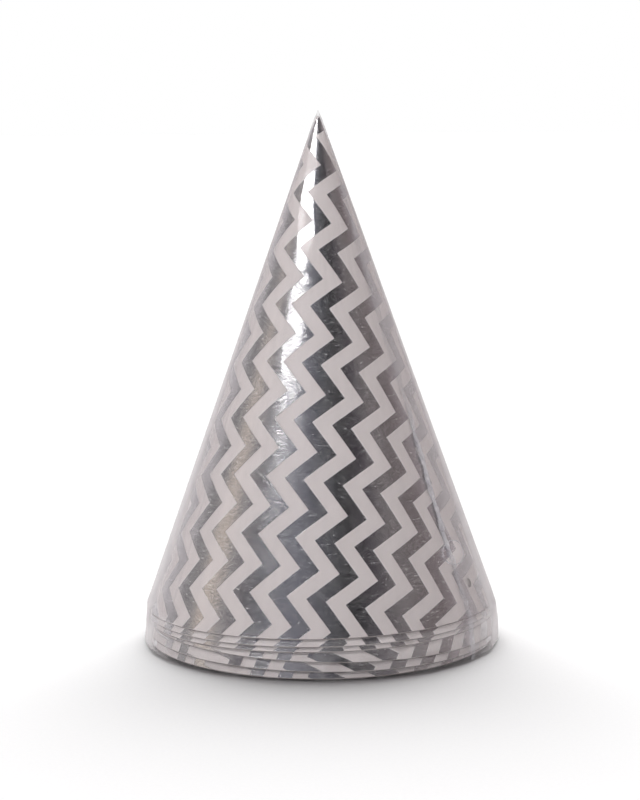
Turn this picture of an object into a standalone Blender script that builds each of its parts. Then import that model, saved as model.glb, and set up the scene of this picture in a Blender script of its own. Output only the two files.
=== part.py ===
"""A nested pack of six cone party hats of foil-stamped card, under a clear film sleeve.

Each hat is one card blank rolled into a cone. Its end laps over its start and a thin glue line between
the two layers holds it. Two punched holes near the rim take the chin elastic. The hats stack with their
rims stepping down, and the sleeve covers them all. Metres, +Z up, the lowest rim on Z = 0, front to -Y.
"""

import math

import bmesh
import bpy
from mathutils import Matrix, Vector

# The rolled card
SLANT = 0.170  # tip to rim along the card, the radius of the flat blank
RIM_RADIUS = 0.057  # outside of the single card layer at the rim
CARD = 0.00025  # card thickness
TIP_OPENING = 0.0003  # radius of the pinhole where the card's edge turns at the tip

# The lapped seam
LAP_TURN = math.radians(15)  # how far the end of the card runs over its start
LAP_RAMP = math.radians(15)  # the turn over which the card climbs onto its own start
GLUE = 0.00008  # thickness of the glue line
GLUE_CLEARANCE = 0.00004  # left between the glue line and each layer
GLUE_TURN = math.radians(5)  # the glue line's width, in the middle of the lap
GLUE_FROM_RIM = 0.005
GLUE_FROM_TIP = 0.015

# The holes for the chin elastic
HOLE_WIDTH = 0.003
HOLE_FROM_RIM = 0.010  # along Z, from the rim to the hole's centre
HOLE_TURN = math.radians(90)  # each way round from the middle of the lap
HOLE_SIDES = 16
PUNCH_REACH = 0.003  # how far the punch runs past the card on both sides

# The stack, from the outermost hat to the innermost
NEST_SLACK = (0.00011, 0.00008, 0.00034, 0.00034, 0.00022)  # free gap under each hat, square to the card
FACETS_TURNED = (0, 0, 0, 18, 17, 18)  # how far each hat is turned in the stack, in whole facets
SEAM_FACET = 29  # where a hat's seam starts before the hat is turned, counted from -Y towards +X

# The film sleeve
FILM = 0.00005
FILM_CLEARANCE = 0.00012  # between the lapped seam of the outermost hat and the film
SKIRT_FLARE = 0.0010  # how much wider the skirt is at its hem than at the outermost rim
HEM_LIFT = 0.0005  # the hem's height above the lowest rim
VENT_TURN = math.radians(58)  # the vent hole's place, from -Y towards +X
VENT_FROM_RIM = 0.021  # along Z, above the outermost rim
VENT_WIDTH = 0.0125  # the round vent is drawn out sideways as the film tightens
VENT_TALL = 0.0077
VENT_SIDES = 24

# Facets shared by every round piece, so that neighbouring walls stay parallel
SEGMENTS = 72
STEP = 2 * math.pi / SEGMENTS
SAME_TURN = 0.001  # two turns this near, in facets, are the same corner
SHARP_EDGE = math.radians(30)

# Worked out from the sizes above
SIN = RIM_RADIUS / SLANT  # of the half angle of the cone
COS = math.sqrt(1 - SIN * SIN)
TAN = SIN / COS
HEIGHT = RIM_RADIUS / TAN  # rim to the tip of the outer cone
GLUE_GAP = GLUE + 2 * GLUE_CLEARANCE
LAP_LIFT = CARD + GLUE_GAP  # how far the upper layer of the lap stands off, square to the card
SEAM_STACK = LAP_LIFT + CARD
DROPS = [(SEAM_STACK + slack) / SIN for slack in NEST_SLACK]
HATS = len(FACETS_TURNED)
RIM_HEIGHTS = [sum(DROPS[number:]) for number in range(HATS)]
SEAM_TURN = SEAM_FACET * STEP

SILVER = (0.78, 0.77, 0.78, 1.0)
GLUE_CREAM = (0.86, 0.82, 0.72, 1.0)
FILM_CLEAR = (0.95, 0.95, 0.96, 0.3)


def clear_scene():
    """Start from an empty scene."""
    for thing in list(bpy.data.objects):
        bpy.data.objects.remove(thing)


def material(name, colour, roughness, metallic):
    """A plain finish of one colour."""
    made = bpy.data.materials.new(name)
    made.use_nodes = True
    made.diffuse_color = colour
    shader = made.node_tree.nodes["Principled BSDF"]
    shader.inputs["Base Color"].default_value = colour
    shader.inputs["Roughness"].default_value = roughness
    shader.inputs["Metallic"].default_value = metallic
    shader.inputs["Alpha"].default_value = colour[3]
    return made


def cone_point(turn, height, lift):
    """A point that stands lift, square to the card, outside a hat's inner face. Height is above its rim."""
    inner_radius = (HEIGHT - height) * TAN - CARD / COS
    radius = inner_radius + lift / COS
    return Vector((radius * math.sin(turn), -radius * math.cos(turn), height))


def mesh_of(name, shape):
    """A round piece's mesh, facing outwards, with its edges sharp and its sides smooth."""
    bmesh.ops.recalc_face_normals(shape, faces=shape.faces)
    mesh = bpy.data.meshes.new(name)
    shape.to_mesh(mesh)
    shape.free()
    mesh.shade_smooth()
    mesh.set_sharp_from_angle(angle=SHARP_EDGE)
    return mesh


def facet_point(turn, height, lift):
    """A point on the flat facet at this turn, as cone_point gives for the facet's two corners."""
    facet = math.floor(turn / STEP + SAME_TURN)
    start = cone_point(facet * STEP, height, lift)
    end = cone_point((facet + 1) * STEP, height, lift)
    return start.lerp(end, turn / STEP - facet)


def facet_turns(start, end):
    """The turns at which a strip bends: its two ends, and each corner between two facets."""
    first = math.floor(start / STEP + SAME_TURN) + 1
    last = math.ceil(end / STEP - SAME_TURN)
    return [start] + [facet * STEP for facet in range(first, last)] + [end]


def lap_lift(rolled):
    """How far the card has climbed onto its own start after this much of the roll."""
    climbed = (rolled - (2 * math.pi - LAP_RAMP)) / LAP_RAMP
    return LAP_LIFT * min(1.0, max(0.0, climbed))


def strip_mesh(name, start, end, heights, lift_at, thickness):
    """A closed strip of even thickness round a stretch of the cone."""
    bottom, top = heights
    shape = bmesh.new()
    rings = []
    for turn in facet_turns(start, end):
        inside = lift_at(turn - SEAM_TURN)
        outside = inside + thickness
        corners = [(bottom, inside), (bottom, outside), (top, outside), (top, inside)]
        rings.append([shape.verts.new(facet_point(turn, height, lift)) for height, lift in corners])
    for here, there in zip(rings, rings[1:]):
        for side in range(4):
            after = (side + 1) % 4
            shape.faces.new((here[side], here[after], there[after], there[side]))
    shape.faces.new(rings[0])
    shape.faces.new(rings[-1])
    return mesh_of(name, shape)


def add_punch(shape, turn, height, lift, size, sides):
    """A round or oval punch, square to the cone's side, with its middle on the wall that it cuts."""
    wide, tall = size
    across = Vector((math.cos(turn), math.sin(turn), 0.0))
    outward = Vector((COS * math.sin(turn), -COS * math.cos(turn), SIN))
    upward = outward.cross(across)
    place = Matrix((across, upward, outward)).transposed().to_4x4()
    place.translation = cone_point(turn, height, lift)
    bmesh.ops.create_cone(
        shape,
        cap_ends=True,
        segments=sides,
        radius1=0.5,
        radius2=0.5,
        depth=2 * PUNCH_REACH,
        matrix=place @ Matrix.Diagonal((wide, tall, 1.0, 1.0)),
    )


def cut_with(piece, punch_mesh, name, rim=0.0):
    """Cut a piece with a punch drawn in the frame of a hat whose rim stands this high."""
    punch = bpy.data.objects.new(name, punch_mesh)
    punch.parent = piece.parent
    punch.location = (0, 0, rim)
    punch.hide_render = True
    punch.display_type = "WIRE"
    bpy.context.scene.collection.objects.link(punch)
    cut = piece.modifiers.new("punched_hole", "BOOLEAN")
    cut.operation = "DIFFERENCE"
    cut.solver = "EXACT"
    cut.object = punch


def add_hats(foil_card, glue):
    """Six hats, each on its own empty, numbered from the outermost."""
    top = HEIGHT - CARD / SIN - TIP_OPENING / TAN
    seam_middle = SEAM_TURN + LAP_TURN / 2
    card_mesh = strip_mesh(
        "rolled_card",
        start=SEAM_TURN,
        end=SEAM_TURN + 2 * math.pi + LAP_TURN,
        heights=(0.0, top),
        lift_at=lap_lift,
        thickness=CARD,
    )
    glue_mesh = strip_mesh(
        "glue_line",
        start=seam_middle - GLUE_TURN / 2,
        end=seam_middle + GLUE_TURN / 2,
        heights=(GLUE_FROM_RIM, top - GLUE_FROM_TIP),
        lift_at=lambda rolled: CARD + GLUE_CLEARANCE,
        thickness=GLUE,
    )
    card_mesh.materials.append(foil_card)
    glue_mesh.materials.append(glue)
    holes = bmesh.new()
    for turn in (seam_middle - HOLE_TURN, seam_middle + HOLE_TURN):
        add_punch(holes, turn, HOLE_FROM_RIM, CARD / 2, (HOLE_WIDTH, HOLE_WIDTH), HOLE_SIDES)
    punch_mesh = mesh_of("elastic_hole_punch", holes)
    for number, (facets, rim) in enumerate(zip(FACETS_TURNED, RIM_HEIGHTS), start=1):
        hat = bpy.data.objects.new(f"hat_{number}", None)
        hat.location = (0, 0, rim)
        hat.rotation_euler = (0, 0, facets * STEP)
        cone = bpy.data.objects.new(f"hat_{number}_cone", card_mesh)
        line = bpy.data.objects.new(f"hat_{number}_glue_line", glue_mesh)
        for piece in (hat, cone, line):
            bpy.context.scene.collection.objects.link(piece)
        cone.parent = hat
        line.parent = hat
        cut_with(cone, punch_mesh, f"hat_{number}_hole_punch")


def add_film_sleeve(film):
    """A clear cone that ends in a skirt: over the outermost hat, then down past the other rims to the hem."""
    outer_rim = RIM_HEIGHTS[0]
    inside_lift = SEAM_STACK + FILM_CLEARANCE
    inside_radius = RIM_RADIUS + (inside_lift - CARD) / COS
    film_across = FILM / COS
    inner_tip = outer_rim + inside_radius / TAN
    skirt_inside = [
        (inside_radius, outer_rim),
        (inside_radius + SKIRT_FLARE, HEM_LIFT),
    ]
    profile = [(0.0, inner_tip + FILM / SIN)]
    profile += [(radius + film_across, height) for radius, height in skirt_inside]
    profile += list(reversed(skirt_inside))
    profile += [(0.0, inner_tip)]
    shape = bmesh.new()
    line = [shape.verts.new((0.0, -radius, height)) for radius, height in profile]
    edges = [shape.edges.new(pair) for pair in zip(line, line[1:])]
    bmesh.ops.spin(
        shape,
        geom=line + edges,
        cent=(0, 0, 0),
        axis=(0, 0, 1),
        steps=SEGMENTS,
        angle=2 * math.pi,
    )
    bmesh.ops.remove_doubles(shape, verts=shape.verts, dist=FILM / 10)
    sleeve = bpy.data.objects.new("film_sleeve", mesh_of("film_sleeve", shape))
    sleeve.data.materials.append(film)
    bpy.context.scene.collection.objects.link(sleeve)
    vent = bmesh.new()
    vent_size = (VENT_WIDTH, VENT_TALL)
    add_punch(vent, VENT_TURN, VENT_FROM_RIM, inside_lift, vent_size, VENT_SIDES)
    cut_with(sleeve, mesh_of("vent_punch", vent), "vent_punch", outer_rim)


clear_scene()
add_hats(
    foil_card=material("foil_card", SILVER, roughness=0.25, metallic=1.0),
    glue=material("glue", GLUE_CREAM, roughness=0.5, metallic=0.0),
)
add_film_sleeve(material("clear_film", FILM_CLEAR, roughness=0.08, metallic=0.0))
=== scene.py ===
import math

import bpy
import numpy as np
from mathutils import Matrix, Vector


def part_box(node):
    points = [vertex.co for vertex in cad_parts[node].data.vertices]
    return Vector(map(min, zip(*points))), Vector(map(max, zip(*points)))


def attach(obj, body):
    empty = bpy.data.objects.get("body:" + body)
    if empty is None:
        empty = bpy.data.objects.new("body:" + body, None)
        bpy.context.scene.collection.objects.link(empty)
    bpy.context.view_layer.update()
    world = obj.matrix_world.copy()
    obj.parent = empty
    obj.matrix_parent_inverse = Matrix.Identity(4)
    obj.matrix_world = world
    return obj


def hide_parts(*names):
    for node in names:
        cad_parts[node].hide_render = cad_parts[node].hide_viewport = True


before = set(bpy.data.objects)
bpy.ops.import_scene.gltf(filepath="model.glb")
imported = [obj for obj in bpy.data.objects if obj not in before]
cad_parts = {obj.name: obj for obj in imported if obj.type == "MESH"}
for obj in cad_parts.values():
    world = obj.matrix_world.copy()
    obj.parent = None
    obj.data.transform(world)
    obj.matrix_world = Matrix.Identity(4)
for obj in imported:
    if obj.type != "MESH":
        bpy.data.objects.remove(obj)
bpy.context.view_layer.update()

# ---------------------------------------------------------------------------------------------
# The studio. One long lens looks a little down on the stack, which stands on a pale sheet of
# paper board. A small softbox and two thin strips light it from the left and a broad fill from in
# front, the room is dark in front and pale behind, and one broad lamp lights the sheet alone.
# ---------------------------------------------------------------------------------------------
CAMERA_PLACE = (0.0, -0.8917, 0.2152)
CAMERA_PITCH = math.radians(-8.65)
CAMERA_ROLL = math.radians(-0.41)
LENS = 124.5
SHEET_WIDTH = 6.0
SHEET_LAMP_TILT = math.radians(-50)
SHEET_LAMP_SPREAD = math.radians(78)
SHEET_LAMP_STRENGTH = 4.3

bpy.ops.object.select_all(action="DESELECT")
bpy.ops.object.camera_add(location=CAMERA_PLACE)
camera = bpy.context.object
camera.name = "studio_camera"
pitched = Matrix.Rotation(math.radians(90) + CAMERA_PITCH, 3, "X")
camera.rotation_euler = (pitched @ Matrix.Rotation(CAMERA_ROLL, 3, "Z")).to_euler()
camera.data.lens = LENS
camera.data.sensor_width = 36.0
camera.data.clip_start = 0.05
camera.data.clip_end = 60.0
bpy.context.scene.camera = camera
bpy.context.scene.view_settings.view_transform = "Standard"


def add_node(tree, kind, **settings):
    """A new node with these settings."""
    made = tree.nodes.new(kind)
    for name, value in settings.items():
        setattr(made, name, value)
    return made


def feed(tree, socket, value):
    """Link an output to a socket, or set the socket to a constant."""
    if isinstance(value, bpy.types.NodeSocket):
        tree.links.new(value, socket)
    else:
        socket.default_value = value


def maths(tree, operation, *values):
    """One sum on numbers or outputs."""
    made = add_node(tree, "ShaderNodeMath", operation=operation)
    for socket, value in zip(made.inputs, values):
        feed(tree, socket, value)
    return made.outputs[0]


def rescale(tree, value, low, high, to_low=0.0, to_high=1.0, smooth=False):
    """Carry a range of values onto another, held at both ends."""
    made = add_node(tree, "ShaderNodeMapRange")
    made.interpolation_type = "SMOOTHSTEP" if smooth else "LINEAR"
    for socket, number in zip(made.inputs, (value, low, high, to_low, to_high)):
        feed(tree, socket, number)
    return made.outputs[0]


def blend_colours(tree, share, first, second):
    """The first colour where share is 0, and the second where it is 1."""
    made = add_node(tree, "ShaderNodeMix", data_type="RGBA")
    feed(tree, made.inputs[0], share)
    feed(tree, made.inputs[6], first)
    feed(tree, made.inputs[7], second)
    return made.outputs[2]


def new_material(name):
    """An empty material tree, with its shader already joined to the output."""
    made = bpy.data.materials.new(name)
    made.use_nodes = True
    return made, made.node_tree, made.node_tree.nodes["Principled BSDF"]


def place_of(tree, kind="Object", uv_map=None):
    """A point's own coordinates, or its place on a UV map."""
    if uv_map:
        return add_node(tree, "ShaderNodeUVMap", uv_map=uv_map).outputs[0]
    return add_node(tree, "ShaderNodeTexCoord").outputs[kind]


def noise(tree, vector, scale, detail=2.0, roughness=0.5):
    """Soft noise from 0 to 1."""
    made = add_node(tree, "ShaderNodeTexNoise")
    feed(tree, made.inputs["Vector"], vector)
    made.inputs["Scale"].default_value = scale
    made.inputs["Detail"].default_value = detail
    made.inputs["Roughness"].default_value = roughness
    return made.outputs["Fac"]


# The sheet the stack stands on
bpy.ops.mesh.primitive_plane_add(size=SHEET_WIDTH)
floor = bpy.context.object
floor.name = "paper_sheet"
paper, tree, shader = new_material("pale_paper")
grain = rescale(tree, noise(tree, place_of(tree), 900.0, 3.0), 0.3, 0.7)
paper_tone = blend_colours(tree, grain, (0.90, 0.90, 0.90, 1), (0.92, 0.92, 0.92, 1))
feed(tree, shader.inputs["Base Color"], paper_tone)
shader.inputs["Roughness"].default_value = 0.95
shader.inputs["Specular IOR Level"].default_value = 0.1
floor.data.materials.append(paper)

# One broad lamp behind the stack lights the sheet alone, and the other lamps leave the sheet out
sheet_only = bpy.data.collections.new("lit_by_the_sheet_lamp")
sheet_only.objects.link(floor)
all_but_sheet = bpy.data.collections.new("lit_by_the_other_lamps")
all_but_sheet.objects.link(floor)
all_but_sheet.collection_objects[0].light_linking.link_state = "EXCLUDE"
bpy.ops.object.light_add(type="SUN", location=(0, 0, 2), rotation=(SHEET_LAMP_TILT, 0, 0))
sheet_lamp = bpy.context.object
sheet_lamp.name = "sheet_lamp"
sheet_lamp.data.energy = SHEET_LAMP_STRENGTH
sheet_lamp.data.angle = SHEET_LAMP_SPREAD
sheet_lamp.light_linking.receiver_collection = sheet_only


def sky_point(turn, rise, away):
    """A point this far off, by its turn from the lens to the right and its rise, in degrees."""
    turn, rise = math.radians(turn), math.radians(rise)
    level = away * math.cos(rise)
    return Vector((level * math.sin(turn), -level * math.cos(turn), away * math.sin(rise)))


def add_softbox(name, foot, head, aim, away, width, strength, colour):
    """A soft lamp that faces a point, its long side running from one place in the room to another."""
    foot = sky_point(*foot, away) + Vector(aim)
    head = sky_point(*head, away) + Vector(aim)
    place = (foot + head) / 2
    back = (place - Vector(aim)).normalized()
    long_way = (head - foot) - back * (head - foot).dot(back)
    long_side = long_way.normalized()
    bpy.ops.object.light_add(type="AREA", location=place)
    lamp = bpy.context.object
    lamp.name = name
    lamp.rotation_euler = Matrix((long_side.cross(back), long_side, back)).transposed().to_euler()
    lamp.data.shape = "RECTANGLE"
    lamp.data.size, lamp.data.size_y = width, long_way.length
    lamp.data.energy = strength * math.pi * width * long_way.length
    lamp.data.color = colour
    lamp.visible_camera = False
    lamp.light_linking.receiver_collection = all_but_sheet
    return lamp


add_softbox("key_softbox", (-46, 33.0), (-46, 43), (0, 0, 0.12), 1.3, 0.40, 10.5, (1.0, 0.985, 0.98))
add_softbox(
    "warm_strip", (-94, 9), (-76.5, 23.5), (-0.035, -0.03, 0.05), 2.0, 0.29, 0.42, (1.0, 0.80, 0.58)
)
add_softbox(
    "glow_strip", (-47, 30.2), (-20, 26.8), (-0.01, -0.03, 0.09), 2.0, 0.10, 0.42, (0.98, 0.98, 1.0)
)
fill = add_softbox("card_fill", (6, 34), (6, 58), (0, 0, 0.08), 1.5, 0.80, 2.8, (1.0, 0.98, 0.96))
fill.visible_glossy = False

# The room: how bright it is along the horizon, by the turn from the lens towards the right
ROOM = (
    (-180, (0.20, 0.19, 0.20)), (-169, (0.24, 0.23, 0.23)), (-159, (0.72, 0.69, 0.70)),
    (-148, (0.70, 0.67, 0.69)), (-124, (0.50, 0.47, 0.48)), (-108, (0.25, 0.24, 0.24)),
    (-90, (0.32, 0.30, 0.30)), (-68, (0.32, 0.30, 0.30)),
    (-60, (0.10, 0.09, 0.10)), (-48, (0.055, 0.055, 0.07)), (-37, (0.065, 0.065, 0.085)),
    (-23, (0.15, 0.15, 0.18)), (2, (0.095, 0.095, 0.105)), (21, (0.02, 0.02, 0.02)),
    (44, (0.06, 0.05, 0.06)), (54, (0.18, 0.16, 0.16)), (94, (0.16, 0.13, 0.13)),
    (108, (0.34, 0.29, 0.30)), (130, (0.48, 0.44, 0.44)), (159, (0.56, 0.51, 0.53)),
    (169, (0.24, 0.23, 0.23)), (180, (0.20, 0.19, 0.20)),
)
OVERHEAD = 0.30
OVERHEAD_FROM, OVERHEAD_TO = math.radians(42), math.radians(60)  # the rise where the walls end
world = bpy.data.worlds.new("studio_room")
bpy.context.scene.world = world
world.use_nodes = True
tree = world.node_tree
tree.nodes.clear()
split = add_node(tree, "ShaderNodeSeparateXYZ")
feed(tree, split.inputs[0], place_of(tree, "Generated"))
turn = maths(tree, "ARCTAN2", split.outputs["X"], maths(tree, "MULTIPLY", split.outputs["Y"], -1.0))
walls = add_node(tree, "ShaderNodeValToRGB")
feed(tree, walls.inputs[0], rescale(tree, turn, -math.pi, math.pi))
walls.color_ramp.interpolation = "EASE"
while len(walls.color_ramp.elements) < len(ROOM):
    walls.color_ramp.elements.new(0.5)
for stop, (degrees, _) in zip(walls.color_ramp.elements, ROOM):
    stop.position = (degrees + 180) / 360
for stop, (_, brightness) in zip(walls.color_ramp.elements, ROOM):
    stop.color = (*brightness, 1)
ends = (math.sin(OVERHEAD_FROM), math.sin(OVERHEAD_TO))
above = rescale(tree, split.outputs["Z"], *ends, smooth=True)
room = blend_colours(tree, above, walls.outputs[0], (OVERHEAD, OVERHEAD, OVERHEAD, 1))
seen = add_node(tree, "ShaderNodeLightPath").outputs["Is Camera Ray"]
light = add_node(tree, "ShaderNodeBackground")
feed(tree, light.inputs["Color"], blend_colours(tree, seen, room, (1, 1, 1, 1)))
out = add_node(tree, "ShaderNodeOutputWorld")
feed(tree, out.inputs[0], light.outputs[0])

# ---------------------------------------------------------------------------------------------
# The six hats. Each is one blank of white coated card, hot-stamped with silver foil in zigzag
# stripes, die-cut, rolled into a cone and lapped 15 degrees over its own start at the back. Two
# punched holes near the rim take the chin elastic.
# ---------------------------------------------------------------------------------------------
RIM_RADIUS = 0.057
SLANT = 0.170
CARD = 0.00025  # its thickness
SIN = RIM_RADIUS / SLANT
COS = math.sqrt(1 - SIN * SIN)
TAN = SIN / COS
CONE_HEIGHT = RIM_RADIUS / TAN
LAP_LIFT = CARD + 0.00016  # how far the end of the card stands off over its start
LAP_RAMP = math.radians(15)
SEAM_START = math.radians(145)
ROLLED = math.radians(375)  # a full turn and the lap
HOLE_RADIUS = 0.0015
HOLE_HEIGHT = 0.010
HOLE_TURNS = (math.radians(62.5), math.radians(-117.5))
CARD_COLUMNS, CARD_ROWS = 300, 96
RIM_ROWS = (0.0, 0.0004, 0.0009)  # where the lowest rows of points stand
RIM_LIP = 0.00005  # how far the die turned the rim outwards
RIM_RUN_HEIGHT = 0.060  # how far up from the rim the card gives way as its rim runs askew
# For each hat from the outermost: its turn in the stack in degrees; where the die fell on the
# print, as a turn about the tip in degrees and a shift along and across the zigzags in metres; and
# how its rim runs, in millimetres above the true rim, as (all round, to the right, to the front, to
# both sides)
DIE_CUTS = (
    (0, 0.0, (0.0, 0.0), (0.15, 0.95, -0.05, 0.0)),
    (0, -1.0, (0.0, 0.0), (0.25, 0.85, -0.30, 0.0)),
    (0, -2.0, (0.0, 0.0), (0.60, 0.90, -0.10, 0.0)),
    (90, 0.0, (0.0015, -0.0020), (0.60, -1.40, -0.30, 0.0)),
    (85, -1.0, (0.0015, 0.0), (0.80, -0.70, -0.60, 0.0)),
    (90, 2.0, (0.0015, 0.0), (0.40, 0.10, 0.15, 1.10)),
)


def flat_sheet(name, columns, rows):
    """A flat sheet of small squares, one metre each way."""
    bpy.ops.object.select_all(action="DESELECT")
    bpy.ops.mesh.primitive_grid_add(x_subdivisions=columns, y_subdivisions=rows, size=1.0)
    sheet = bpy.context.object
    sheet.name = sheet.data.name = name
    return sheet


def points_of(piece):
    """A piece's points, one row each."""
    points = np.empty(len(piece.data.vertices) * 3)
    piece.data.vertices.foreach_get("co", points)
    return points.reshape(-1, 3)


def put_points(piece, across, along, up):
    """Move a piece's points to these places."""
    piece.data.vertices.foreach_set("co", np.column_stack((across, along, up)).ravel())
    piece.data.update()


def put_uv(piece, name, first, second):
    """Write a UV map from one pair of numbers for each point."""
    layer = piece.data.uv_layers.get(name) or piece.data.uv_layers.new(name=name)
    corner = np.empty(len(piece.data.loops), dtype=np.int32)
    piece.data.loops.foreach_get("vertex_index", corner)
    layer.data.foreach_set("uv", np.column_stack((first[corner], second[corner])).ravel())


def corner_uv(piece, name):
    """A UV map's pairs, one row for each face corner."""
    pairs = np.empty(len(piece.data.loops) * 2)
    piece.data.uv_layers[name].data.foreach_get("uv", pairs)
    return pairs.reshape(-1, 2)


def apply_all(piece):
    """Apply every modifier of a piece."""
    bpy.context.view_layer.objects.active = piece
    for modifier in list(piece.modifiers):
        bpy.ops.object.modifier_apply(modifier=modifier.name)


def smooth(piece, degrees=35):
    """Smooth shading that keeps sharp corners."""
    bpy.ops.object.select_all(action="DESELECT")
    piece.select_set(True)
    bpy.context.view_layer.objects.active = piece
    bpy.ops.object.shade_smooth_by_angle(angle=math.radians(degrees))


def ease(value, low, high):
    """From 0 at low to 1 at high, smoothly."""
    part = np.clip((value - low) / (high - low), 0.0, 1.0)
    return part * part * (3 - 2 * part)


# How far the whole stack is out of round: each swell's share of the radius, how many times it comes
# round, where it starts, and how it winds with the height
SWELLS = (
    (0.0022, 2, 0.6, 0),
    (0.0012, 3, -1.1, 6),
    (0.0009, 5, 0.4, -9),
    (0.0007, 9, 2.0, 12),
    (0.0004, 14, -0.7, 20),
)


def out_of_round(turn, height):
    """How far the whole stack swells or sinks here, as a share of its radius."""
    return sum(
        share * np.sin(times * turn + start + wind * height) for share, times, start, wind in SWELLS
    )


def settle(piece):
    """Give a piece the slight out-of-roundness of the whole stack."""
    points = points_of(piece)
    turn = np.arctan2(points[:, 0], -points[:, 1])
    swell = 1 + out_of_round(turn, points[:, 2])
    put_points(piece, points[:, 0] * swell, points[:, 1] * swell, points[:, 2])


def stack_turned(piece, turned, rim):
    """Turn a piece about the stack's axis and lift it to its rim's height."""
    points = points_of(piece)
    c, s = math.cos(turned), math.sin(turned)
    across = c * points[:, 0] - s * points[:, 1]
    along = s * points[:, 0] + c * points[:, 1]
    put_points(piece, across, along, points[:, 2] + rim)


def mapped(tree, vector, **settings):
    """Move, turn or stretch coordinates."""
    made = add_node(tree, "ShaderNodeMapping")
    feed(tree, made.inputs["Vector"], vector)
    for name, value in settings.items():
        made.inputs[name.capitalize()].default_value = value
    return made.outputs[0]


def bump(tree, height, distance):
    """Relief: the height times this distance in metres."""
    made = add_node(tree, "ShaderNodeBump")
    made.inputs["Strength"].default_value = 1.0
    made.inputs["Distance"].default_value = distance
    feed(tree, made.inputs["Height"], height)
    return made.outputs[0]


# The print on the face of the card
ZIGZAG_TURN = math.radians(8.72)
ZIGZAG_LENGTH = 0.01848  # from one point of a zigzag to the next
ZIGZAG_REACH = 0.00455  # half the height of a zigzag
STRIPE_PITCH = 0.01240
STRIPE_SHARE = 0.502  # of the pitch that stays bare card
PRINT_START = (-0.00201, -0.01746)
PRINT_WOBBLE = 0.00016  # how far the stripes' edges wander in all
FOIL_SHARP, FOIL_STEP = 0.00004, 0.00018  # half the width of a stripe's edge, in colour and in relief
SCUFF_TURN = math.radians(18)  # to the left, where the foil is scuffed a little dull
SCUFF_HALF = (math.radians(13), math.radians(8))  # each way round, from no scuff to full scuff
SCUFF_START, SCUFF_END = (0.050, 0.056), (0.100, 0.088)  # down the slant from the tip
SCUFF = 0.05
RAW_EDGE = 0.00024  # the crushed edge along the die's cut
RAW_EDGE_PAINTED_SHADE = 0.00009  # its lowest part, painted near black as the shade in the gap under each rim
MICRON = 0.000001

stamped, tree, shader = new_material("foil_stamped_card")
flat = place_of(tree, uv_map="blank")
roll = place_of(tree, uv_map="roll")
body = place_of(tree)
# The edges of the stripes wander a little, as the foil broke away from its carrier
wobble = add_node(tree, "ShaderNodeTexNoise")
feed(tree, wobble.inputs["Vector"], flat)
wobble.inputs["Scale"].default_value = 1500.0
wobble.inputs["Detail"].default_value = 3.0
centred = add_node(tree, "ShaderNodeVectorMath", operation="MULTIPLY_ADD")
feed(tree, centred.inputs[0], wobble.outputs["Color"])
centred.inputs[1].default_value = (PRINT_WOBBLE, PRINT_WOBBLE, 0)
centred.inputs[2].default_value = (-PRINT_WOBBLE / 2, -PRINT_WOBBLE / 2, 0)
frayed = add_node(tree, "ShaderNodeVectorMath", operation="ADD")
feed(tree, frayed.inputs[0], flat)
feed(tree, frayed.inputs[1], centred.outputs[0])

# The zigzag stripes: bare card, the rest foil
turned = mapped(tree, frayed.outputs[0], rotation=(0, 0, -ZIGZAG_TURN), location=(*PRINT_START, 0))
axes = add_node(tree, "ShaderNodeSeparateXYZ")
feed(tree, axes.inputs[0], turned)
wave = maths(tree, "PINGPONG", axes.outputs["Y"], ZIGZAG_LENGTH / 2)
wave = maths(tree, "MULTIPLY", wave, 4 * ZIGZAG_REACH / ZIGZAG_LENGTH)
stripe = maths(tree, "ADD", maths(tree, "SUBTRACT", axes.outputs["X"], ZIGZAG_REACH), wave)
stripe = maths(tree, "PINGPONG", stripe, STRIPE_PITCH / 2)
edge = STRIPE_PITCH * (1 - STRIPE_SHARE) / 2
bare = rescale(tree, stripe, edge - FOIL_SHARP, edge + FOIL_SHARP)
relief = rescale(tree, stripe, edge - FOIL_STEP, edge + FOIL_STEP, smooth=True)

# The crushed raw edge along the rim, by the distance from the cut, with painted shade at its foot
slant = add_node(tree, "ShaderNodeSeparateXYZ")
feed(tree, slant.inputs[0], place_of(tree, uv_map="cut"))
raw = rescale(tree, slant.outputs["Y"], RAW_EDGE, RAW_EDGE + 0.00006, 1.0, 0.0)

# The surface: the coating's orange peel, specks in the foil, slow ripples of the card, and fine rub
# marks and scratches that run round the cone
peel = noise(tree, body, 1250.0, 2.0, 0.55)
speck = noise(tree, body, 2700.0, 2.0, 0.6)
ripple = noise(tree, body, 75.0, 2.0)
rub = mapped(tree, roll, scale=(14.0, 1400.0, 1.0), rotation=(0, 0, 0.02))
rub = noise(tree, rub, 1.0, 5.0, 0.75)
scratch = mapped(tree, roll, scale=(26.0, 1900.0, 1.0), rotation=(0, 0, -0.03))
scratch = noise(tree, scratch, 1.0, 4.0, 0.7)
rolled_at = add_node(tree, "ShaderNodeSeparateXYZ")
feed(tree, rolled_at.inputs[0], roll)
off_scuff = maths(tree, "ABSOLUTE", maths(tree, "ADD", rolled_at.outputs["X"], SCUFF_TURN))
scuffed = rescale(tree, off_scuff, *SCUFF_HALF, 0.0, SCUFF)
scuffed = maths(tree, "MULTIPLY", scuffed, rescale(tree, rolled_at.outputs["Y"], *SCUFF_START))
scuffed = maths(tree, "MULTIPLY", scuffed, rescale(tree, rolled_at.outputs["Y"], *SCUFF_END))
foil_shine = maths(tree, "ADD", rescale(tree, speck, 0.42, 0.62, 0.06, 0.20), scuffed)
foil_shine = maths(tree, "ADD", foil_shine, rescale(tree, rub, 0.5, 0.8, 0.0, 0.22))
card_shine = rescale(tree, peel, 0.3, 0.7, 0.40, 0.48)
shine = add_node(tree, "ShaderNodeMix", data_type="FLOAT")
for number, value in ((0, bare), (2, foil_shine), (3, card_shine)):
    feed(tree, shine.inputs[number], value)
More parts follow.
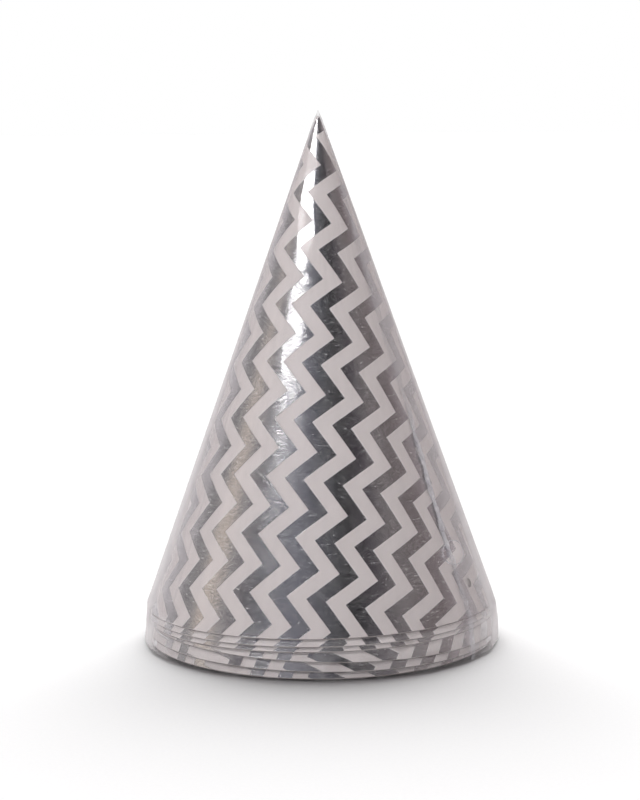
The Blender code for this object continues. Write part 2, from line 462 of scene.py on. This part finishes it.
rubbed = rescale(tree, maths(tree, "MAXIMUM", rub, maths(tree, "SUBTRACT", scratch, 0.02)), 0.50, 0.62)
patches = noise(tree, mapped(tree, roll, scale=(9.0, 190.0, 1.0)), 1.0, 2.0)
rubbed = maths(tree, "MULTIPLY", rubbed, rescale(tree, patches, 0.38, 0.62, 0.30, 1.0))
specks = rescale(tree, speck, 0.44, 0.60)
foil_tone = blend_colours(tree, specks, (0.58, 0.575, 0.60, 1), (0.94, 0.935, 0.95, 1))
foil_tone = blend_colours(tree, rubbed, foil_tone, (1.0, 1.0, 1.0, 1))
rubbed = maths(tree, "MULTIPLY", rubbed, 0.14)
ripples = rescale(tree, ripple, 0.3, 0.7)
card_tone = blend_colours(tree, ripples, (0.91, 0.85, 0.845, 1), (0.88, 0.82, 0.815, 1))
printed = blend_colours(tree, bare, foil_tone, card_tone)
# Painted shade: the lowest strip of the rim is painted near black for the shaded gap under each rim,
# above it the raw edge's own pinkish grey
painted_gap_shade = rescale(tree, slant.outputs["Y"], RAW_EDGE_PAINTED_SHADE, RAW_EDGE_PAINTED_SHADE + 0.00004)
raw_edge_and_painted_shade = blend_colours(tree, painted_gap_shade, (0.09, 0.075, 0.08, 1), (0.58, 0.52, 0.52, 1))
feed(tree, shader.inputs["Base Color"], blend_colours(tree, raw, printed, raw_edge_and_painted_shade))
not_foil = maths(tree, "MAXIMUM", maths(tree, "MAXIMUM", bare, raw), rubbed)
feed(tree, shader.inputs["Metallic"], maths(tree, "SUBTRACT", 1.0, not_foil))
rough_edge = add_node(tree, "ShaderNodeMix", data_type="FLOAT")
for number, value in ((0, raw), (2, shine.outputs[0]), (3, 0.85)):
    feed(tree, rough_edge.inputs[number], value)
feed(tree, shader.inputs["Roughness"], rough_edge.outputs[0])
# Each layer's relief in microns
height = maths(tree, "MULTIPLY_ADD", relief, 150.0, maths(tree, "MULTIPLY", peel, 26.0))
height = maths(tree, "ADD", height, maths(tree, "MULTIPLY", speck, 16.0))
height = maths(tree, "ADD", height, maths(tree, "MULTIPLY", ripple, 38.0))
height = maths(tree, "ADD", height, maths(tree, "MULTIPLY", rub, 55.0))
feed(tree, shader.inputs["Normal"], bump(tree, height, MICRON))

card_back, tree, shader = new_material("card_back")
fibre = noise(tree, place_of(tree), 1100.0, 5.0, 0.65)
back_tone = blend_colours(tree, fibre, (0.80, 0.78, 0.76, 1), (0.88, 0.86, 0.84, 1))
feed(tree, shader.inputs["Base Color"], back_tone)
shader.inputs["Roughness"].default_value = 0.9
feed(tree, shader.inputs["Normal"], bump(tree, fibre, 30 * MICRON))

# The card's cut faces: grey card fibre, painted darker as the shade in the gap under each rim
cut_edge_painted_shade, tree, shader = new_material("cut_card_edge_painted_shade")
fibre = noise(tree, place_of(tree), 2500.0, 4.0, 0.7)
edge_grey_and_painted_shade = blend_colours(tree, fibre, (0.34, 0.31, 0.30, 1), (0.54, 0.51, 0.49, 1))
feed(tree, shader.inputs["Base Color"], edge_grey_and_painted_shade)
shader.inputs["Roughness"].default_value = 0.95
feed(tree, shader.inputs["Normal"], bump(tree, fibre, 30 * MICRON))

# One blank, rolled. Its UV maps: "blank" is the flat blank that the print lies on, "roll" the turn
# and the distance from the tip, and "cut" the turn and the distance from the cut along the rim
card_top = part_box("hat_1_cone")[1].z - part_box("hat_1_cone")[0].z
rolled_card = flat_sheet("rolled_card", CARD_COLUMNS, CARD_ROWS)
grid = points_of(rolled_card)
rolled = (grid[:, 0] + 0.5) * ROLLED
up = (grid[:, 1] + 0.5) * card_top
row = np.rint((grid[:, 1] + 0.5) * CARD_ROWS).astype(int)
for number, near_rim in enumerate(RIM_ROWS):
    up[row == number] = near_rim
turn = SEAM_START + rolled
lap = LAP_LIFT * np.clip((rolled - (2 * math.pi - LAP_RAMP)) / LAP_RAMP, 0, 1)
lip = RIM_LIP * np.clip(1 - up / RIM_ROWS[-1], 0, 1)
radius = (CONE_HEIGHT - up) * TAN + (lap + lip) / COS
put_points(rolled_card, radius * np.sin(turn), -radius * np.cos(turn), up)
rolled_card.data.uv_layers[0].name = "blank"
put_uv(rolled_card, "roll", turn - 2 * math.pi, (CONE_HEIGHT - up) / COS)
put_uv(rolled_card, "cut", turn - 2 * math.pi, up / COS)
for finish in (stamped, card_back, cut_edge_painted_shade):
    rolled_card.data.materials.append(finish)
wall = rolled_card.modifiers.new("card_thickness", "SOLIDIFY")
wall.thickness = CARD
wall.offset = -1.0
wall.use_even_offset = True
wall.material_offset = 1
wall.material_offset_rim = 2
apply_all(rolled_card)

for hole_turn in HOLE_TURNS:
    across = (CONE_HEIGHT - HOLE_HEIGHT) * TAN
    outward = Vector((COS * math.sin(hole_turn), -COS * math.cos(hole_turn), SIN))
    bpy.ops.object.select_all(action="DESELECT")
    bpy.ops.mesh.primitive_cylinder_add(
        vertices=32,
        radius=HOLE_RADIUS,
        depth=0.004,
        location=(across * math.sin(hole_turn), -across * math.cos(hole_turn), HOLE_HEIGHT),
        rotation=outward.to_track_quat("Z", "Y").to_euler(),
    )
    punch = bpy.context.object
    for finish in (stamped, card_back, cut_edge_painted_shade):
        punch.data.materials.append(finish)
    for face in punch.data.polygons:
        face.material_index = 2
    hole = rolled_card.modifiers.new("elastic_hole", "BOOLEAN")
    hole.operation = "DIFFERENCE"
    hole.solver = "EXACT"
    hole.object = punch
    apply_all(rolled_card)
    bpy.data.objects.remove(punch)


# The flat on the tip, by height over the rim: half its width and its middle, in degrees of turn
FLAT_HEIGHTS = (0.109, 0.123, 0.130)
FLAT_HALF = (0, 12.5, 12.5)
FLAT_MIDDLE = (-20.0, -16.5, -23.0)
# The crease that runs up to it, by height over the rim, and the buckle across its foot
CREASE_HEIGHTS = (0.050, 0.072, 0.085, 0.108)
CREASE_TURNS = (-12.0, -18.0, -24.0, -21.0)
CREASE_DEPTH = 0.00014
BUCKLE_TURN, BUCKLE_HALF_TURN = -10, 8.0
BUCKLE_HEIGHT, BUCKLE_HALF_HEIGHT = 0.1078, 0.0011
BUCKLE_SLOPE = 0.00003  # for each degree of turn
BUCKLE_DEPTH = 0.00030


def pressed_flat(turn, radius, height):
    """How far the tip is pressed in on its front left, at a turn in degrees."""
    half = np.interp(height, FLAT_HEIGHTS, FLAT_HALF)
    middle = np.interp(height, FLAT_HEIGHTS, FLAT_MIDDLE)
    away = np.radians(np.clip(np.abs(turn - middle), 0, half))
    return radius * (1 - np.cos(np.radians(half)) / np.cos(away))


def press_facet(piece, rim):
    """The outermost hat's tip is pressed flat on its front left, where the film pulls it in."""
    points = points_of(piece)
    turn = np.degrees(np.arctan2(points[:, 0], -points[:, 1]))
    radius = np.hypot(points[:, 0], points[:, 1])
    height = points[:, 2] - rim
    pressed = pressed_flat(turn, radius, height)
    right = (turn - np.interp(height, CREASE_HEIGHTS, CREASE_TURNS)) * math.pi / 180 * radius
    crease = ease(right, -0.0012, 0.0) * ease(right, 0.0055, 0.0)
    crease = crease * ease(height, 0.045, 0.065) * ease(height, 0.112, 0.104)
    off_buckle = turn - BUCKLE_TURN
    bend = (height - BUCKLE_HEIGHT - BUCKLE_SLOPE * off_buckle) / BUCKLE_HALF_HEIGHT
    buckle = bend * np.exp(0.5 - bend * bend) * np.exp(-((off_buckle / BUCKLE_HALF_TURN) ** 4))
    pressed = pressed + CREASE_DEPTH * crease + BUCKLE_DEPTH * buckle
    share = 1 - pressed / np.maximum(radius, 0.0004)
    put_points(piece, points[:, 0] * share, points[:, 1] * share, points[:, 2])


def run_rim(piece, all_round, to_right, to_front, to_sides):
    """Let a rim run up and down as the card was rolled a little askew. The print stays in place."""
    points = points_of(piece)
    turn = np.arctan2(points[:, 0], -points[:, 1])
    near_rim = np.clip(1 - points[:, 2] / RIM_RUN_HEIGHT, 0, 1) ** 2
    rise = all_round + to_right * np.sin(turn) + to_front * np.cos(turn) + to_sides * np.sin(turn) ** 2
    rise = rise * near_rim / 1000
    share = 1 - rise / (CONE_HEIGHT - points[:, 2])
    put_points(piece, points[:, 0] * share, points[:, 1] * share, points[:, 2] + rise)
    corner = np.empty(len(piece.data.loops), dtype=np.int32)
    piece.data.loops.foreach_get("vertex_index", corner)
    pairs = corner_uv(piece, "roll")
    pairs[:, 1] -= rise[corner] / COS
    piece.data.uv_layers["roll"].data.foreach_set("uv", pairs.ravel())
    return pairs


for number, (turned, print_turn, print_shift, rim_run) in enumerate(DIE_CUTS, start=1):
    hat = rolled_card.copy()
    hat.data = rolled_card.data.copy()
    hat.name = hat.data.name = f"hat_{number}_card"
    bpy.context.scene.collection.objects.link(hat)
    stack_turned(hat, math.radians(turned), 0.0)
    pairs = run_rim(hat, *rim_run)
    fan = (pairs[:, 0] - math.radians(print_turn)) * SIN
    flat_place = np.column_stack((pairs[:, 1] * np.sin(fan), pairs[:, 1] * np.cos(fan)))
    along, across = print_shift
    flat_place += (
        across * math.cos(ZIGZAG_TURN) - along * math.sin(ZIGZAG_TURN),
        across * math.sin(ZIGZAG_TURN) + along * math.cos(ZIGZAG_TURN),
    )
    hat.data.uv_layers["blank"].data.foreach_set("uv", flat_place.ravel())
    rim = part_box(f"hat_{number}_cone")[0].z
    stack_turned(hat, 0.0, rim)
    if number == 1:
        press_facet(hat, rim)
    settle(hat)
    smooth(hat)
    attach(hat, f"hat_{number}")
    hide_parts(f"hat_{number}_cone")
bpy.data.objects.remove(rolled_card)

# ---------------------------------------------------------------------------------------------
# The glue lines. A bead of cream paper glue runs down the middle of each lap, pressed flat to
# less than a tenth of a millimetre between the two layers of card.
# ---------------------------------------------------------------------------------------------
GLUE = 0.00008  # its thickness
GLUE_OFF_CARD = 0.00004
GLUE_MIDDLE = math.radians(152.5)
GLUE_TURN = math.radians(4.4)
GLUE_FROM_RIM, GLUE_FROM_TIP = 0.005, 0.015

glue, tree, shader = new_material("paper_glue")
clots = noise(tree, place_of(tree), 700.0, 3.0)
glue_tone = blend_colours(tree, clots, (0.80, 0.74, 0.60, 1), (0.90, 0.86, 0.76, 1))
feed(tree, shader.inputs["Base Color"], glue_tone)
feed(tree, shader.inputs["Roughness"], rescale(tree, clots, 0.3, 0.7, 0.35, 0.6))
feed(tree, shader.inputs["Normal"], bump(tree, clots, 20 * MICRON))

glue_bead = flat_sheet("glue_bead", 8, 160)
grid = points_of(glue_bead)
up = GLUE_FROM_RIM + (grid[:, 1] + 0.5) * (card_top - GLUE_FROM_TIP - GLUE_FROM_RIM)
spread = 1 - 0.10 * np.sin(up * 520) * np.sin(up * 190 + 1) - 0.05 * np.sin(up * 1300)
turn = GLUE_MIDDLE + grid[:, 0] * GLUE_TURN * spread
radius = (CONE_HEIGHT - up) * TAN + (GLUE_OFF_CARD + GLUE) / COS
put_points(glue_bead, radius * np.sin(turn), -radius * np.cos(turn), up)
glue_bead.data.materials.append(glue)
wall = glue_bead.modifiers.new("glue_thickness", "SOLIDIFY")
wall.thickness = GLUE
wall.offset = -1.0
apply_all(glue_bead)

for number, (turned, *_) in enumerate(DIE_CUTS, start=1):
    bead = glue_bead.copy()
    bead.data = glue_bead.data.copy()
    bead.name = bead.data.name = f"hat_{number}_glue_bead"
    bpy.context.scene.collection.objects.link(bead)
    stack_turned(bead, math.radians(turned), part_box(f"hat_{number}_cone")[0].z)
    settle(bead)
    smooth(bead)
    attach(bead, f"hat_{number}")
    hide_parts(f"hat_{number}_glue_line")
bpy.data.objects.remove(glue_bead)

# ---------------------------------------------------------------------------------------------
# The film sleeve. A cone-shaped bag of thin clear plastic film is pulled over the stack. It is
# welded down one side, has a vent hole, and its skirt runs down past the six rims to an open hem.
# ---------------------------------------------------------------------------------------------
FILM = 0.00005  # its thickness
FILM_COLUMNS = 360
FILM_LIFT, LAP_MORE = 0.00036, 0.00022  # off the card's cone, and how much more over the lap
LAP_TURN = math.radians(155)  # the middle of the film's bulge over the lap
TIP_GAP = 0.0004  # how far the film's tip stands over the cone's own
TIP_CLOSES = 0.0006  # how far below the card's cut tip it starts to close
SKIRT_FLARE = 0.0010
HEM = 0.0003
HEM_RISE = 0.0013  # how much higher the hem stands at both sides
VENT_TURN = math.radians(58)
VENT_HEIGHT = 0.021
VENT_HALF = (0.00625, 0.00385)
FOLD_TURN = math.radians(-57)
FOLD_HALF, FOLD_HIGH = 0.0014, 0.00020
WELD_TURN = math.radians(55.3)
# The creases round the skirt: where each starts and ends, in degrees; its height over the outermost
# rim at its start, middle and end, in millimetres; and how high it stands, in millimetres
CREASES = (
    (31, 64, (11.5, 5.6, 6.2), 0.24),
    (38, 62, (-7.6, -11.2, -9.6), 0.22),
    (17, 40, (-7.2, -9.4, -7.4), 0.12),
    (40, 66, (3.2, 1.0, 2.4), 0.14),
    (-66, -34, (-3.8, -5.2, -4.4), 0.14),
    (-46, -16, (-1.6, -2.6, -1.4), 0.10),
)
CREASE_HALF = 0.55

film, tree, shader = new_material("clear_film")
roll = place_of(tree, uv_map="roll")
body = place_of(tree)
axes = add_node(tree, "ShaderNodeSeparateXYZ")
feed(tree, axes.inputs[0], roll)
# A thin mirror that grows at the edges, dust, and a milky haze where the film is seen aslant
facing = add_node(tree, "ShaderNodeLayerWeight")
facing.inputs["Blend"].default_value = 0.5
mirror = maths(tree, "MULTIPLY_ADD", maths(tree, "POWER", facing.outputs["Facing"], 5.0), 0.42, 0.04)
dust = noise(tree, mapped(tree, roll, scale=(14.0, 60.0, 1.0)), 1.0, 4.0, 0.6)
aslant = rescale(tree, facing.outputs["Facing"], 0.45, 0.88, smooth=True)
milk = maths(tree, "MULTIPLY", aslant, 0.42)
right_side = rescale(tree, axes.outputs["X"], math.radians(47), math.radians(64), smooth=True)
left_side = rescale(tree, axes.outputs["X"], math.radians(-52), math.radians(-70), smooth=True)
past_side = maths(tree, "ABSOLUTE", axes.outputs["X"])
past_side = rescale(tree, past_side, math.radians(72), math.radians(95), 0.10, 0.0)
side = maths(tree, "MULTIPLY", maths(tree, "MAXIMUM", right_side, left_side), past_side)
dusty = rescale(tree, dust, 0.35, 0.75, 0.005, 0.035)
haze = maths(tree, "ADD", dusty, maths(tree, "MAXIMUM", milk, side))
cover = maths(tree, "MINIMUM", maths(tree, "ADD", mirror, haze), 0.97)
feed(tree, shader.inputs["Alpha"], cover)
feed(tree, shader.inputs["Metallic"], maths(tree, "DIVIDE", mirror, cover))
film_tone = blend_colours(tree, dust, (0.80, 0.765, 0.775, 1), (0.88, 0.85, 0.86, 1))
feed(tree, shader.inputs["Base Color"], film_tone)
shader.inputs["Roughness"].default_value = 0.08
shader.inputs["Specular IOR Level"].default_value = 0.0
pull = noise(tree, mapped(tree, roll, scale=(26.0, 9.0, 1.0)), 1.0, 3.0, 0.55)
crinkle = noise(tree, body, 260.0, 3.0, 0.6)
height = maths(tree, "MULTIPLY_ADD", pull, 120.0, maths(tree, "MULTIPLY", crinkle, 10.0))
feed(tree, shader.inputs["Normal"], bump(tree, height, MICRON))

outer_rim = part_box("hat_1_cone")[0].z
card_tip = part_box("hat_1_cone")[1].z
film_tip = outer_rim + CONE_HEIGHT + TIP_GAP
# The rows of points stand closer in the skirt and at the tip: so many rows up to each height
ROW_COUNTS = (0, 46, 106, 116)
ROW_PLACES = (HEM, outer_rim + 0.016, card_tip - 0.004, film_tip)


def film_radius(turn, up):
    """The film's own radius, wrinkled, at a turn and a height."""
    above_rim = np.maximum(up - outer_rim, 0)
    below_rim = np.maximum(outer_rim - up, 0)
    off_lap = np.degrees(np.arccos(np.clip(np.cos(turn - LAP_TURN), -1, 1)))
    lift = FILM_LIFT + LAP_MORE * ease(off_lap, 60, 30)
    radius = (CONE_HEIGHT - above_rim) * TAN + lift / COS + SKIRT_FLARE * below_rim / (outer_rim - HEM)
    closing = np.sqrt(np.clip((film_tip - up) / (film_tip - card_tip + TIP_CLOSES), 0, 1))
    streak = 0.00004 * np.sin(17 * turn + 40 * up) + 0.00003 * np.sin(31 * turn - 25 * up + 1.0)
    skirt = ease(below_rim - above_rim, -0.004, 0.002)
    folds = 0.00016 * np.sin(11 * turn + 300 * up + 1.0) + 0.00012 * np.sin(23 * turn - 420 * up)
    off_fold = (turn - FOLD_TURN) * radius / FOLD_HALF
    folded = FOLD_HIGH * np.exp(-(off_fold**2)) * ease(up, 0.150, 0.120)
    degrees, height = np.degrees(turn), (up - outer_rim) * 1000
    creases = 0.0
    for start, end, (first, middle, last), high in CREASES:
        share = (degrees - start) / (end - start)
        line = first * (1 - share) ** 2 + 2 * middle * share * (1 - share) + last * share**2
        ends = ease(share, 0.0, 0.15) * ease(share, 1.0, 0.85)
        creases = creases + high / 1000 * ends * np.exp(-(((height - line) / CREASE_HALF) ** 2))
    fullness = np.clip(radius / RIM_RADIUS, 0, 1)
    wrapped = (degrees + 180) % 360 - 180
    radius = radius - pressed_flat(wrapped, radius, up - outer_rim)
    radius = radius + ((streak + folds * skirt + folded) * fullness + creases) * ease(off_lap, 28, 45)
    return radius * closing


sleeve = flat_sheet("film_bag", FILM_COLUMNS, ROW_COUNTS[-1])
grid = points_of(sleeve)
turn = grid[:, 0] * 2 * math.pi
up = np.interp((grid[:, 1] + 0.5) * ROW_COUNTS[-1], ROW_COUNTS, ROW_PLACES)
up = up + HEM_RISE * np.sin(turn) ** 2 * np.clip(1 - (up - HEM) / 0.012, 0, 1)
radius = np.where(grid[:, 1] > 0.4999, 0, film_radius(turn, up))
put_points(sleeve, radius * np.sin(turn), -radius * np.cos(turn), up)
sleeve.data.uv_layers[0].name = "roll"
put_uv(sleeve, "roll", turn, (film_tip - up) / COS)
sleeve.data.materials.append(film)
bpy.ops.object.mode_set(mode="EDIT")
bpy.ops.mesh.select_all(action="SELECT")
bpy.ops.mesh.remove_doubles(threshold=0.000002)
bpy.ops.object.mode_set(mode="OBJECT")
settle(sleeve)
wall = sleeve.modifiers.new("film_thickness", "SOLIDIFY")
wall.thickness = FILM
wall.offset = -1.0
apply_all(sleeve)


def vent_place(depth):
    """The vent's own frame on the film's side: sideways, up the side, and outwards."""
    outward = Vector((COS * math.sin(VENT_TURN), -COS * math.cos(VENT_TURN), SIN))
    sideways = Vector((math.cos(VENT_TURN), math.sin(VENT_TURN), 0))
    place = Matrix((sideways, outward.cross(sideways), outward)).transposed().to_4x4()
    up = outer_rim + VENT_HEIGHT
    across = film_radius(np.array([VENT_TURN]), np.array([up]))[0]
    across *= 1 + out_of_round(VENT_TURN, up)
    place.translation = (across * math.sin(VENT_TURN), -across * math.cos(VENT_TURN), up)
    return place @ Matrix.Diagonal((*VENT_HALF, depth, 1.0))


bpy.ops.object.select_all(action="DESELECT")
bpy.ops.mesh.primitive_cylinder_add(vertices=48, radius=1.0, depth=1.0)
punch = bpy.context.object
punch.data.transform(vent_place(0.004))
punch.data.materials.append(film)
hole = sleeve.modifiers.new("vent_hole", "BOOLEAN")
hole.operation = "DIFFERENCE"
hole.solver = "EXACT"
hole.object = punch
apply_all(sleeve)
bpy.data.objects.remove(punch)
smooth(sleeve, 40)
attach(sleeve, "sleeve")
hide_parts("film_sleeve")

# ---------------------------------------------------------------------------------------------
# The film's side weld and the lip of its vent. Where the two edges of the film were welded it
# shrank into a narrow crinkled, whitish bead down the whole side. The melted edge of the vent
# hole is a thin rolled lip.
# ---------------------------------------------------------------------------------------------
WELD_WIDE = 0.0040
WELD = 0.00006  # its thickness
WELD_START, WELD_SHORT = 0.0004, 0.012  # from the hem, and how far short of the card's tip it ends
LIP_ROUND = 0.034  # the lip's own radius, as a share of the vent's
LIP_SHADE = 0.13  # the lip is as white as the weld is this far from the tip

bead_film, tree, shader = new_material("welded_film")
body = place_of(tree)
roll = place_of(tree, uv_map="roll")
axes = add_node(tree, "ShaderNodeSeparateXYZ")
feed(tree, axes.inputs[0], roll)
clots = noise(tree, body, 420.0, 3.0, 0.6)
strong = rescale(tree, axes.outputs["Y"], 0.090, 0.118, smooth=True)
weak = rescale(tree, axes.outputs["Y"], 0.140, 0.156, 1.0, 0.35, smooth=True)
shown = maths(tree, "MULTIPLY_ADD", maths(tree, "MULTIPLY", strong, weak), 0.88, 0.12)
edges = rescale(tree, maths(tree, "ABSOLUTE", axes.outputs["X"]), 0.25, 0.5, 1.0, 0.0, smooth=True)
strands = rescale(tree, clots, 0.32, 0.62, 0.24, 0.58)
cover = maths(tree, "MULTIPLY", maths(tree, "MULTIPLY", strands, shown), edges)
feed(tree, shader.inputs["Alpha"], maths(tree, "ADD", cover, 0.03))
weld_tone = blend_colours(tree, clots, (0.84, 0.85, 0.93, 1), (0.97, 0.95, 0.96, 1))
feed(tree, shader.inputs["Base Color"], weld_tone)
feed(tree, shader.inputs["Roughness"], rescale(tree, clots, 0.3, 0.7, 0.12, 0.30))
shader.inputs["Metallic"].default_value = 0.12
feed(tree, shader.inputs["Normal"], bump(tree, clots, 0.00025))

weld = flat_sheet("film_side_weld", 12, 420)
grid = points_of(weld)
up = HEM + WELD_START + (grid[:, 1] + 0.5) * (card_tip - WELD_SHORT - HEM)
wander = 0.0004 * np.sin(up * 95) + 0.00025 * np.sin(up * 410 + 1)
wide = WELD_WIDE * (0.75 + 0.2 * np.sin(up * 330) * np.sin(up * 870 + 2))
wide = wide * np.clip((film_tip - up) / 0.045, 0.25, 1)
turn = WELD_TURN + (grid[:, 0] * wide + wander) / np.maximum((film_tip - up) * TAN, 0.004)
crumple = 0.5 + 0.5 * np.sin(up * 1500 + 3 * np.sin(up * 410) + grid[:, 0] * 5)
crumple = crumple * (0.5 + 0.5 * np.sin(up * 640 + grid[:, 0] * 9))
crumple = crumple * np.clip(1 - (2 * grid[:, 0]) ** 2, 0, 1)
strong = ease(up - outer_rim, 0.075, 0.050) * ease(up - outer_rim, 0.010, 0.026)
radius = film_radius(turn, up) + 0.00010 + crumple * (0.00006 + 0.00024 * strong)
put_points(weld, radius * np.sin(turn), -radius * np.cos(turn), up)
weld.data.uv_layers[0].name = "roll"
put_uv(weld, "roll", grid[:, 0], (film_tip - up) / COS)
weld.data.materials.append(bead_film)
settle(weld)
wall = weld.modifiers.new("weld_thickness", "SOLIDIFY")
wall.thickness = WELD
wall.offset = 0.0
apply_all(weld)
smooth(weld, 60)
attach(weld, "sleeve")

bpy.ops.object.select_all(action="DESELECT")
bpy.ops.mesh.primitive_torus_add(
    major_radius=1.0,
    minor_radius=LIP_ROUND,
    major_segments=96,
    minor_segments=10,
)
lip = bpy.context.object
lip.name = lip.data.name = "film_vent_lip"
lip.data.transform(vent_place(0.0050))
lip.data.uv_layers[0].name = "roll"
points = points_of(lip)
turn = np.arctan2(points[:, 0], -points[:, 1])
radius = np.hypot(points[:, 0], points[:, 1])
on_film = film_radius(turn, points[:, 2]) * (1 + out_of_round(turn, points[:, 2]))
middle = np.array(vent_place(1.0).translation)
outward = np.array((COS * math.sin(VENT_TURN), -COS * math.cos(VENT_TURN), SIN))
proud = (points - middle) @ outward
share = (on_film + proud * 0.8 + 0.00003) / radius
put_points(lip, points[:, 0] * share, points[:, 1] * share, points[:, 2])
put_uv(lip, "roll", np.zeros(len(points)), np.full(len(points), LIP_SHADE))
lip.data.materials.append(bead_film)
smooth(lip, 180)
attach(lip, "sleeve")

# ---------------------------------------------------------------------------------------------
# The two boxes, kept side by side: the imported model's, and the one shown here.
# ---------------------------------------------------------------------------------------------
bpy.context.view_layer.update()
